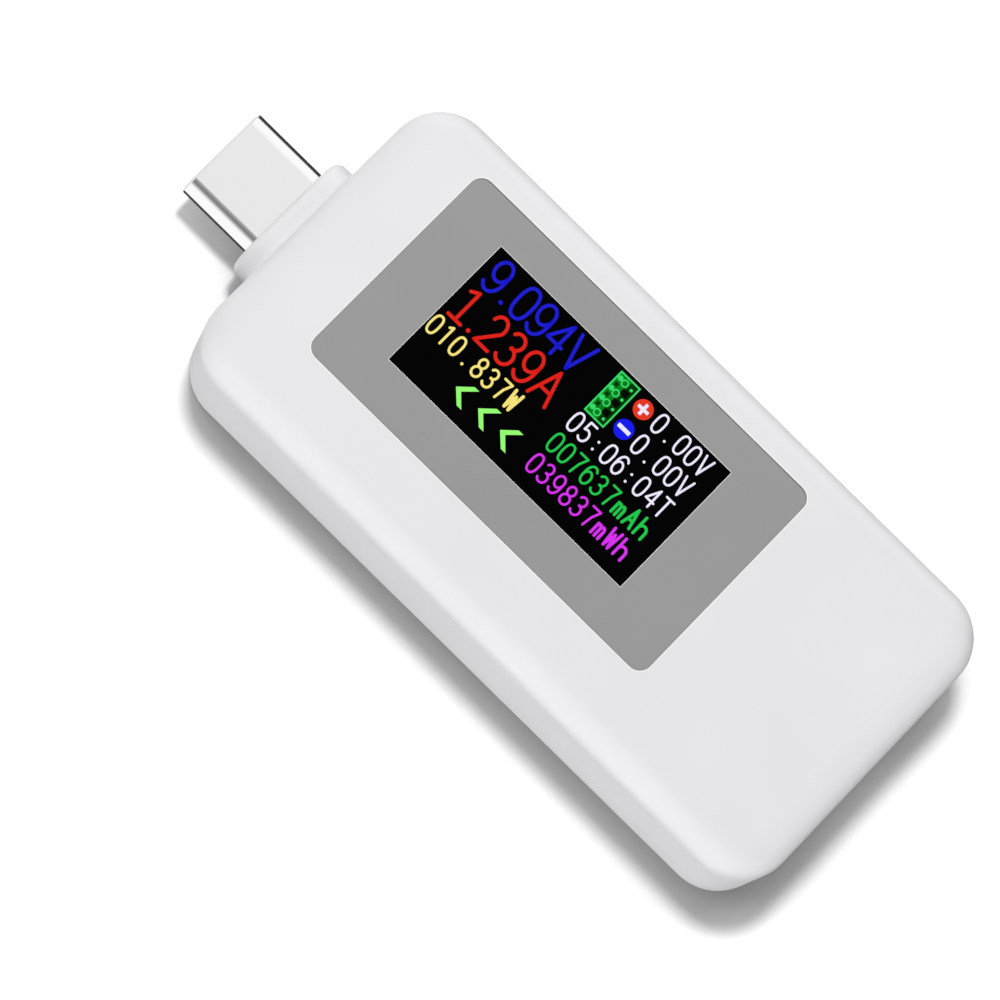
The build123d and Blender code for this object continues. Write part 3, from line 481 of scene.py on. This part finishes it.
large_text(
    "figures_voltage",
    [
        ("9", 0.66, LARGE_WIDTH),
        (".", 2.58, 0.55),
        ("0", 3.40, LARGE_WIDTH),
        ("9", 5.13, LARGE_WIDTH),
        ("4", 6.84, 1.66),
        ("V", 8.66, 1.86),
    ],
    0.3,
    lit_blue,
)
large_text(
    "figures_current",
    [
        ("1", 0.55, 1.5),
        (".", 2.34, 0.55),
        ("2", 3.2, LARGE_WIDTH),
        ("3", 5.03, LARGE_WIDTH),
        ("9", 6.85, LARGE_WIDTH),
        ("A", 8.66, 1.98),
    ],
    3.52,
    lit_red,
)
small_text("figures_power", "010.837W", 3, lit_yellow, LEFT_COLUMN, LEFT_PITCH, 0.19)
small_text("figures_line_high", "    0.00V", 0, lit_white)
small_text("figures_line_low", "    0.00V", 1, lit_white)
small_text("figures_time", "05:06:04T", 2, lit_white)
small_text("figures_charge", "007637mAh", 3, lit_green)
small_text("figures_energy", "039837mWh", 4, lit_magenta)

CHEVRON_TIPS = (4.87, 7.13, 9.37)
CHEVRON_TOP = 8.93
CHEVRON_MIDDLE = 9.88
CHEVRON_BOTTOM = 10.85
CHEVRON_REACH = 1.0
CHEVRON_ARM = 0.47
CHEVRON_NOTCH = 0.52


def draw_chevrons(shape):
    """Three arrowheads that show which way the current flows."""
    for tip in CHEVRON_TIPS:
        inner, outer = tip + CHEVRON_REACH, tip + CHEVRON_REACH + CHEVRON_ARM
        outline = [
            (tip, CHEVRON_MIDDLE),
            (inner, CHEVRON_TOP),
            (outer, CHEVRON_TOP),
            (tip + CHEVRON_NOTCH, CHEVRON_MIDDLE),
            (outer, CHEVRON_BOTTOM),
            (inner, CHEVRON_BOTTOM),
        ]
        add_prism(shape, [at_window(x, y) for x, y in outline], ink_low, ink_high)


add_piece("flow_chevrons", draw_chevrons, lit_lime)


def add_bar(shape, centre, length, thickness, top):
    """A bar on a badge, raised a little over it."""
    x, y = centre
    across, down = length / 2, thickness / 2
    add_prism(shape, rectangle(x - across, y - down, x + across, y + down), ink_high, top)


# Round badges with a plus and a minus, beside the two line voltages
BADGE_X = 15.77
BADGE_RADIUS = 0.78
BADGE_ROWS = (("plus", 1.26, lit_badge_red), ("minus", 3.34, lit_badge_blue))
PLUS_LENGTH = 1.0
PLUS_THICKNESS = 0.26
MINUS_LENGTH = 1.14
MINUS_THICKNESS = 0.32
badge_top = ink_high + 0.006 * MM
for badge, row, finish in BADGE_ROWS:

    def draw_badge(shape, row=row):
        add_disc(shape, at_window(BADGE_X, row), BADGE_RADIUS * MM, sides=56)

    def draw_sign(shape, badge=badge, row=row):
        if badge == "plus":
            add_bar(shape, (BADGE_X, row), PLUS_LENGTH, PLUS_THICKNESS, badge_top)
            add_bar(shape, (BADGE_X, row), PLUS_THICKNESS, PLUS_LENGTH, badge_top + 0.001 * MM)
        else:
            add_bar(shape, (BADGE_X, row), MINUS_LENGTH, MINUS_THICKNESS, badge_top)

    add_piece(f"{badge}_badge", draw_badge, finish)
    add_piece(f"{badge}_sign", draw_sign, lit_white)


# A framed panel of small generic lamps between the columns
LAMP_LEFT = 12.64
LAMP_RIGHT = 14.62
LAMP_TOP = 0.28
LAMP_BOTTOM = 4.37
LAMP_LINE = 0.13
LAMP_ROWS = [LAMP_TOP + 0.48 + row for row in range(4)]
FIELD_LEFT = LAMP_LEFT + LAMP_LINE * 0.9
FIELD_RIGHT = LAMP_RIGHT - LAMP_LINE * 0.9
FIELD_TOP = LAMP_TOP + LAMP_LINE * 0.9
FIELD_BOTTOM = LAMP_BOTTOM - LAMP_LINE * 0.9
FIELD_SPLIT = LAMP_LEFT + 1.18
SPOT_X = LAMP_LEFT + 0.34
SPOT_RADIUS = 0.21
RING_X = LAMP_LEFT + 0.85
RING_PEN = 0.11
SMALL_DOT_X = LAMP_RIGHT - 0.45
SMALL_DOT_RADIUS = 0.12
field_top = ink_high - 0.008 * MM
patch_top = ink_high - 0.004 * MM


def draw_lamp_frame(shape):
    """The panel's frame, with a lamp, a ring and a small dot in each row."""
    outer = rectangle(LAMP_LEFT, LAMP_TOP, LAMP_RIGHT, LAMP_BOTTOM)
    inner = rectangle(
        LAMP_LEFT + LAMP_LINE, LAMP_TOP + LAMP_LINE, LAMP_RIGHT - LAMP_LINE, LAMP_BOTTOM - LAMP_LINE
    )
    add_flat_ring(shape, outer, inner, ink_low, ink_high)
    for y in LAMP_ROWS:
        add_disc(shape, at_window(SPOT_X, y), SPOT_RADIUS * MM)
        ring = [at_window(*point) for point in bow(RING_X, y + 0.07, 0.25, 0.26, 0, 360)]
        add_stroke(shape, ring, RING_PEN * MM)
        add_disc(shape, at_window(SMALL_DOT_X, y + 0.12), SMALL_DOT_RADIUS * MM)


def draw_lamp_field(shape):
    """The field's bright side, behind the lamps and the rings."""
    field = rectangle(FIELD_LEFT, FIELD_TOP, FIELD_SPLIT, FIELD_BOTTOM)
    add_prism(shape, field, ink_low, field_top)


def draw_lamp_shade(shape):
    """The field's dark side, and a dark patch between one lamp and the next."""
    field = rectangle(FIELD_SPLIT, FIELD_TOP, FIELD_RIGHT, FIELD_BOTTOM)
    add_prism(shape, field, ink_low, field_top)
    for y in LAMP_ROWS[:3]:
        patch = rectangle(LAMP_LEFT + 0.27, y + 0.38, LAMP_LEFT + 0.6, y + 0.72)
        add_prism(shape, patch, ink_low, patch_top)


def draw_lamp_gaps(shape):
    """Unlit squares between the small dots."""
    for y in LAMP_ROWS[:3]:
        patch = rectangle(LAMP_LEFT + 1.02, y + 0.36, LAMP_LEFT + 1.66, y + 0.88)
        add_prism(shape, patch, ink_low, patch_top)


add_piece("lamp_frame", draw_lamp_frame, lit_mint)
add_piece("lamp_field", draw_lamp_field, lit_mid_green)
add_piece("lamp_shade", draw_lamp_shade, lit_dark_green)
add_piece("lamp_gaps", draw_lamp_gaps, lit_dim_green)


# ------------------------------------------------------------------ cut edges of the panel


def framed(low, high, reach, corner=0.0):
    """A rectangle around a box's plan, moved out by a reach, with round corners."""
    outline = []
    moved = reach - corner
    for x, y, turn in (
        (high.x + moved, high.y + moved, 0),
        (low.x - moved, high.y + moved, 90),
        (low.x - moved, low.y - moved, 180),
        (high.x + moved, low.y - moved, 270),
    ):
        outline += bow(x, y, corner, corner, turn, turn + 90) if corner else [(x, y)]
    return outline


# The window's rim slopes up from the window, over the gap around it, to the panel's top
WINDOW_GAP = 0.06 * MM
RIM_WIDTH = 0.12 * MM
RIM_SLOPE_SHARE = 0.55
RIM_SKIN = 0.001 * MM


def draw_window_edge(shape):
    """The panel's bright edge, a thin sloped frame around the window: its slope catches real light,
    and its light grey colour is a painted highlight.
    """
    wide = framed(window_low, window_high, WINDOW_GAP + RIM_WIDTH)
    middle = framed(window_low, window_high, WINDOW_GAP + RIM_WIDTH * RIM_SLOPE_SHARE)
    narrow = framed(window_low, window_high, WINDOW_GAP * 0.2)
    add_rim(
        shape,
        (
            (wide, overlay_high.z - 0.03 * MM),
            (wide, overlay_high.z - RIM_SKIN),
            (middle, overlay_high.z - RIM_SKIN),
            (narrow, window_high.z + 0.004 * MM),
            (narrow, overlay_high.z - 0.2 * MM),
        ),
    )


# Around the panel, the grey print runs over the groove, and a bright edge follows it: a painted
# highlight, a flat ring coloured lighter than the case. On the far side a hair of the groove stays
# open
PANEL_CORNER = 1.0 * MM
GREY_START = -0.03 * MM
FAR_GAP = 0.045 * MM
GREY_REACH = 0.09 * MM
WHITE_REACH = 0.17 * MM
RING_DEPTH = 0.25 * MM


def ring_around_panel(start, end, top, far_gap=0.0):
    """A maker of a flat ring around the panel, between two reaches from its edge."""

    def draw(shape):
        far_high = overlay_high + Vector((0, far_gap, 0))
        inner = framed(overlay_low, far_high, start, PANEL_CORNER + start)
        outer = framed(overlay_low, overlay_high, end, PANEL_CORNER + end)
        add_flat_ring(shape, outer, inner, overlay_high.z - RING_DEPTH, top)

    return draw


grey_ring = ring_around_panel(GREY_START, GREY_REACH, overlay_high.z + 0.002 * MM, FAR_GAP)
painted_highlight_ring = ring_around_panel(GREY_REACH, WHITE_REACH, case_high.z - RIM_SKIN)

add_piece("window_edge_painted_highlight", draw_window_edge, window_edge)
add_piece("panel_border", grey_ring, panel_grey)
add_piece("panel_edge_painted_highlight", painted_highlight_ring, painted_highlight_rim)


# ------------------------------------------------------------------ switch dome


def add_giving_dome():
    """The switch's steel dome, as a copy of the imported one that rides on the meter in its place."""
    node = frame["nodes"]["switch_dome"]
    dome = bpy.data.objects.new("giving_dome", node.data.copy())
    bpy.context.scene.collection.objects.link(dome)
    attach(dome, METER)
    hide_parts("switch_dome")
    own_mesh(dome)


add_giving_dome()


# ------------------------------------------------------------------ floor, light, camera

FLOOR_REACH = 3.0

# Looking back towards the key lamp, so that the painted shadow only darkens the floor on the meter's
# shaded sides
TOWARDS_KEY = (-0.65, 0.36, 0.67)
SHADE_DISTANCE = 5 * MM


def mixed(nodes, links, factor, first, second):
    """One of two colours by a factor. A colour is a node's output or a grey level."""
    made = nodes.new("ShaderNodeMix")
    made.data_type = "RGBA"
    links.new(factor, made.inputs["Factor"])
    for socket, colour in ((made.inputs[6], first), (made.inputs[7], second)):
        if isinstance(colour, float):
            socket.default_value = (*grey(colour), 1.0)
        else:
            links.new(colour, socket)
    return made.outputs[2]


def floor_finish():
    """Matt and pale, with a painted shadow: only the camera sees it darken where the meter stands
    close over it, on the side away from the key lamp.
    """
    finish = Finish("pale_floor", Roughness=0.9, Specular_IOR_Level=0.0)
    x, y, z = TOWARDS_KEY
    look = finish.node("CombineXYZ", X=x, Y=y, Z=z).outputs["Vector"]
    cover = finish.node("AmbientOcclusion", Distance=SHADE_DISTANCE, Normal=look).outputs["AO"]
    # Painted shadow: for the camera alone, the floor's colour goes dark where the meter covers it
    # from the key lamp's side
    painted_shadow = finish.blend(cover, [(0.45, grey(0.40)), (0.90, grey(0.99))])
    camera_ray = finish.node("LightPath").outputs["Is Camera Ray"]
    finish.feed("Base Color", mixed(finish.nodes, finish.links, camera_ray, 0.92, painted_shadow))
    return finish


def add_floor():
    mesh = bpy.data.meshes.new("floor")
    shape = bmesh.new()
    near, far = -FLOOR_REACH, FLOOR_REACH
    corners = ((near, near), (far, near), (far, far), (near, far))
    shape.faces.new([shape.verts.new((x, y, case_low.z)) for x, y in corners])
    shape.to_mesh(mesh)
    shape.free()
    floor = bpy.data.objects.new("floor", mesh)
    floor.visible_glossy = False
    bpy.context.scene.collection.objects.link(floor)
    mesh.materials.append(floor_finish().material)


def add_area_light(name, place, size, power):
    """A soft round lamp that points at the meter. The world alone shows in reflections."""
    data = bpy.data.lights.new(name, "AREA")
    data.shape = "DISK"
    data.size = size
    data.energy = power
    light = bpy.data.objects.new(name, data)
    light.location = place
    light.rotation_mode = "QUATERNION"
    light.rotation_quaternion = (-Vector(place)).to_track_quat("-Z", "Y")
    light.visible_glossy = False
    light.visible_camera = False
    bpy.context.scene.collection.objects.link(light)


AMBIENT = 0.25
BACKDROP = 1.0

# What polished parts reflect, by the angle about X from straight up: + towards -Y, in degrees
REFLECTED = (
    (-180, 0.05),
    (-99, 0.05),
    (-86, 1.15),
    (-36, 1.15),
    (-15, 1.00),
    (-11, 0.92),
    (2, 0.36),
    (16, 0.22),
    (27, 0.36),
    (46, 1.05),
    (56, 1.15),
    (128, 1.15),
    (136, 0.05),
    (180, 0.05),
)

# An even card past the plug's end, from where it starts to where it is whole, by the
# direction's X
END_CARD = 0.90
END_CARD_STARTS = -0.18
END_CARD_WHOLE = -0.36


def long_cards(nodes, links, direction):
    """The bright and dark cards along the meter, by the angle about X."""
    angle = nodes.new("ShaderNodeMath")
    angle.operation = "ARCTAN2"
    links.new(direction.outputs["Y"], angle.inputs[0])
    links.new(direction.outputs["Z"], angle.inputs[1])
    share = nodes.new("ShaderNodeMapRange")
    links.new(angle.outputs["Value"], share.inputs["Value"])
    share.inputs["From Min"].default_value = pi
    share.inputs["From Max"].default_value = -pi
    cards = nodes.new("ShaderNodeValToRGB")
    links.new(share.outputs["Result"], cards.inputs["Fac"])
    elements = cards.color_ramp.elements
    while len(elements) < len(REFLECTED):
        elements.new(0.5)
    for element, (turn, level) in zip(elements, REFLECTED):
        element.position = turn / 360 + 0.5
        element.color = (*grey(level), 1.0)
    return cards.outputs["Color"]


def set_world():
    """A white backdrop, even soft light, and a tent of bright cards with gaps for reflections."""
    world = bpy.data.worlds.new("studio")
    world.use_nodes = True
    world.cycles.sampling_method = "NONE"
    nodes, links = world.node_tree.nodes, world.node_tree.links
    direction = nodes.new("ShaderNodeSeparateXYZ")
    links.new(nodes.new("ShaderNodeTexCoord").outputs["Generated"], direction.inputs["Vector"])
    ahead = nodes.new("ShaderNodeMapRange")
    links.new(direction.outputs["X"], ahead.inputs["Value"])
    ahead.inputs["From Min"].default_value = END_CARD_STARTS
    ahead.inputs["From Max"].default_value = END_CARD_WHOLE
    cards = long_cards(nodes, links, direction)
    tent = mixed(nodes, links, ahead.outputs["Result"], cards, END_CARD)
    ray = nodes.new("ShaderNodeLightPath")
    light = mixed(nodes, links, ray.outputs["Is Glossy Ray"], AMBIENT, tent)
    seen = mixed(nodes, links, ray.outputs["Is Camera Ray"], light, BACKDROP)
    links.new(seen, nodes["Background"].inputs["Color"])
    bpy.context.scene.world = world


def add_camera(place, azimuth, elevation, roll, lens):
    """A camera that looks along a compass direction and a height angle, turned about its view."""
    turn, rise, lean = radians(azimuth), radians(elevation), radians(roll)
    back = Vector((sin(turn) * cos(rise), -cos(turn) * cos(rise), sin(rise)))
    level_up = Vector((-sin(turn) * sin(rise), cos(turn) * sin(rise), cos(rise)))
    level_right = level_up.cross(back)
    up = level_up * cos(lean) - level_right * sin(lean)
    right = up.cross(back)
    data = bpy.data.cameras.new("camera")
    data.lens = lens
    data.sensor_width = 36.0
    camera = bpy.data.objects.new("camera", data)
    columns = Matrix((right, up, back)).transposed().to_4x4()
    camera.matrix_world = Matrix.Translation(place) @ columns
    bpy.context.scene.collection.objects.link(camera)
    bpy.context.scene.camera = camera


add_floor()
set_world()
add_area_light("key", (-0.079, 0.064, 0.403), 0.058, 1.12)
add_area_light("near_fill", (0.270, -0.466, 0.115), 0.28, 1.90)
add_area_light("left_fill", (-0.466, -0.270, 0.115), 0.28, 0.70)
add_area_light("far_fill", (0.0, 0.498, 0.232), 0.28, 1.00)
add_camera((-0.00273, -0.0875, 0.3773), 1.13, 77.37, 43.41, 185.7)
bpy.context.scene.view_settings.view_transform = "Standard"
